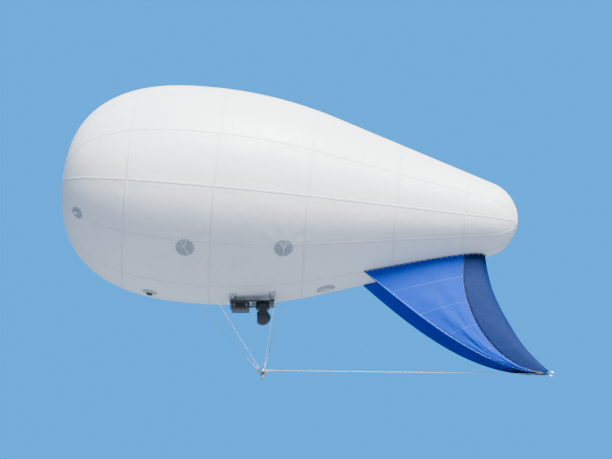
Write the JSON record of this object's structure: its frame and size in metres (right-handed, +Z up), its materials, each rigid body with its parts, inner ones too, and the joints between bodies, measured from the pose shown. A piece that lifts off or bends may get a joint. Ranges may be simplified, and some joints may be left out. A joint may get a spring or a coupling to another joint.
{
  "type": "tethered aerostat",
  "caption": "Tethered kite balloon with a teardrop gas envelope, a cloth wind scoop under the tail, a slung camera turret that pans and tilts, and a bridle down to a swivelling tether clevis.",
  "frame": {"origin": "centre of buoyancy, on the axis of the gas envelope, about two fifths of its length behind the nose", "axes": "+X level towards the nose, +Y to port, +Z up as it flies; the envelope is trimmed 5.3 degrees nose up about +Y, the payload and the tether gear hang level"},
  "size_m": [10.7083, 4.76, 6.6506],
  "materials": {
    "skin": "satin white coated cloth",
    "patch": "matt grey reinforcement cloth",
    "webbing": "matt woven webbing",
    "scoop_blue": "thin blue sailcloth",
    "scoop_navy": "thin navy sailcloth",
    "rope": "braided line",
    "dark_metal": "satin dark grey paint",
    "aluminium": "plain machined",
    "steel": "brushed",
    "plastic": "matt light grey moulding",
    "dark_plastic": "matt black moulding",
    "glass": "dark coated optical glass"
  },
  "bodies": {
    "balloon": {"envelope_shell": "skin", "nose_patch": "skin", "tail_patch": "skin", "inflation_port": "plastic", "inflation_cap": "dark_plastic", "relief_valve": "plastic", "relief_valve_cover": "plastic", "load_patch_fore_port": "patch", "load_patch_fore_starboard": "patch", "load_patch_aft_port": "patch", "load_patch_aft_starboard": "patch", "nose_tie_port": "patch", "nose_tie_starboard": "patch", "belly_band_front": "patch", "belly_band_rear": "patch", "scoop_lacing_strip": "webbing", "scoop_side_port": "scoop_blue", "scoop_side_starboard": "scoop_blue", "scoop_stern_panel": "scoop_navy", "scoop_corner_ring": "steel", "hanger_front_port": "webbing", "hanger_front_starboard": "webbing", "hanger_rear_port": "webbing", "hanger_rear_starboard": "webbing", "payload_frame": "dark_metal", "equipment_box": "dark_metal", "turret_base": "dark_metal", "stay_tab_fore_port": "webbing", "stay_fore_port": "rope", "stay_tab_fore_starboard": "webbing", "stay_fore_starboard": "rope", "stay_tab_aft_port": "webbing", "stay_aft_port": "rope", "stay_tab_aft_starboard": "webbing", "stay_aft_starboard": "rope", "scoop_corner_line": "rope", "confluence_plate": "aluminium", "swivel_housing": "steel"},
    "pan_head": {"turret_head": "dark_metal"},
    "camera_ball": {"turret_ball": "dark_metal", "day_camera_window": "glass", "thermal_window": "glass", "rangefinder_window": "glass"},
    "clevis": {"tether_clevis": "steel"}
  },
  "joints": [
    {"name": "camera_pan", "type": "hinge", "parent": "balloon", "child": "pan_head", "pos_m": [-0.5, 0, -2.5073], "axis": [0, 0, 1], "continuous": true},
    {"name": "camera_tilt", "type": "hinge", "parent": "pan_head", "child": "camera_ball", "pos_m": [-0.5, 0, -2.7553], "axis": [0, 1, 0], "range_deg": [-20, 105]},
    {"name": "tether_swivel", "type": "hinge", "parent": "balloon", "child": "clevis", "pos_m": [-0.5, 0, -4.0803], "axis": [0, 0, 1], "continuous": true}
  ]
}
